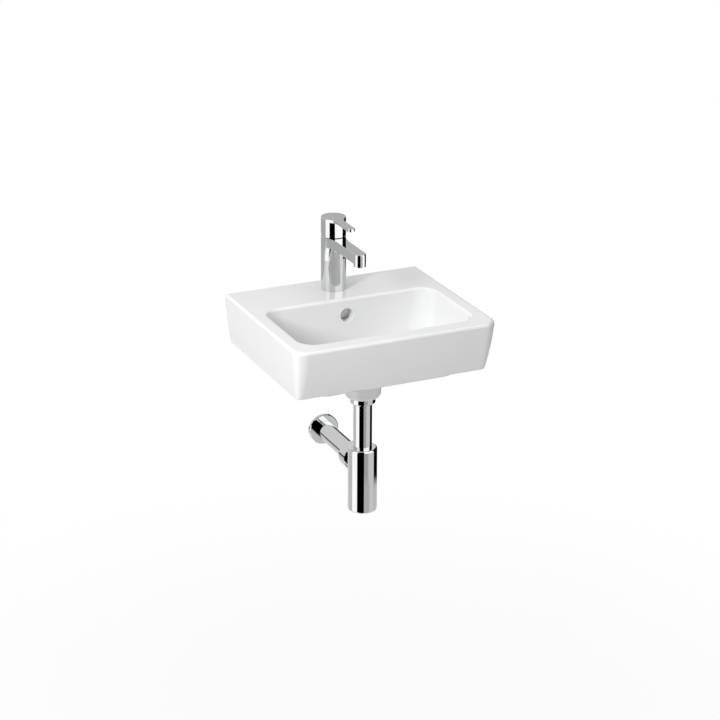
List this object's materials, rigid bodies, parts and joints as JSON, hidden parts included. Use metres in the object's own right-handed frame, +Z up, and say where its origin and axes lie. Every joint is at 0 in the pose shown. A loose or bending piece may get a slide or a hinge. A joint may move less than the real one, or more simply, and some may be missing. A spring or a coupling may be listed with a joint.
{
  "type": "hand basin",
  "caption": "Compact wall-hung ceramic hand basin with a single-lever mixer tap, push-open waste and chrome bottle trap.",
  "frame": {"origin": "midway between the two wall holes, on the wall plane", "axes": "+X to the right seen from the front, +Y into the wall, +Z up"},
  "size_m": [0.3596, 0.3195, 0.4887],
  "materials": {
    "ceramic": "white glaze",
    "chrome": "polished",
    "rubber": "matt",
    "brass": "turned",
    "steel": "zinc plated",
    "plastic": "moulded",
    "disc": "lapped",
    "shroud": "moulded"
  },
  "bodies": {
    "basin_and_fittings": {"basin": "ceramic", "tap_body": "chrome", "aerator_ring": "chrome", "waste_body": "chrome", "waste_back_nut": "chrome", "inlet_tube": "chrome", "trap_cap": "chrome", "trap_bottle": "chrome", "cleanout_plug": "chrome", "outlet_nut": "chrome", "wall_pipe": "chrome", "wall_rosette": "chrome", "tap_base_gasket": "rubber", "clamp_gasket": "rubber", "cartridge_seal": "rubber", "waste_top_seal": "rubber", "waste_lower_seal": "rubber", "inlet_seal": "rubber", "cap_seal": "rubber", "cleanout_seal": "rubber", "outlet_seal": "rubber", "aerator_seal": "rubber", "cartridge_nut": "brass", "clamp_plate": "steel", "fixing_stud": "steel", "fixing_nut": "steel", "plug_spring": "steel", "cartridge_housing": "plastic", "aerator_insert": "plastic", "fixed_disc": "disc", "cartridge_cover": "shroud"},
    "swivel": {"cartridge_carrier": "plastic", "stem_pin": "steel"},
    "lever": {"cartridge_stem": "brass", "lever_handle": "chrome", "grub_screw": "steel", "screw_cover": "chrome"},
    "valve_slider": {"moving_disc": "disc"},
    "plug": {"plug_cap": "chrome", "plug_seal": "rubber", "plug_stem": "brass"}
  },
  "joints": [
    {"name": "lever_swivel", "type": "hinge", "parent": "basin_and_fittings", "child": "swivel", "pos_m": [0, -0.046, 0.12], "axis": [0, 0, 1], "range_deg": [-45, 45]},
    {"name": "lever_lift", "type": "hinge", "parent": "swivel", "child": "lever", "pos_m": [0, -0.046, 0.12], "axis": [-1, 0, 0], "range_deg": [0, 22]},
    {"name": "valve_slide", "type": "slide", "parent": "swivel", "child": "valve_slider", "axis": [0, -1, 0], "range_m": [0, 0.0047]},
    {"name": "plug_push", "type": "slide", "parent": "basin_and_fittings", "child": "plug", "axis": [0, 0, 1], "range_m": [-0.006, 0], "stiffness_N_per_m": 1000, "springref_m": 0.004, "deforming": ["plug_spring"]}
  ],
  "couplings": [
    {"joint": "valve_slide", "follows": "lever_lift", "m_per_rad": 0.0119}
  ]
}
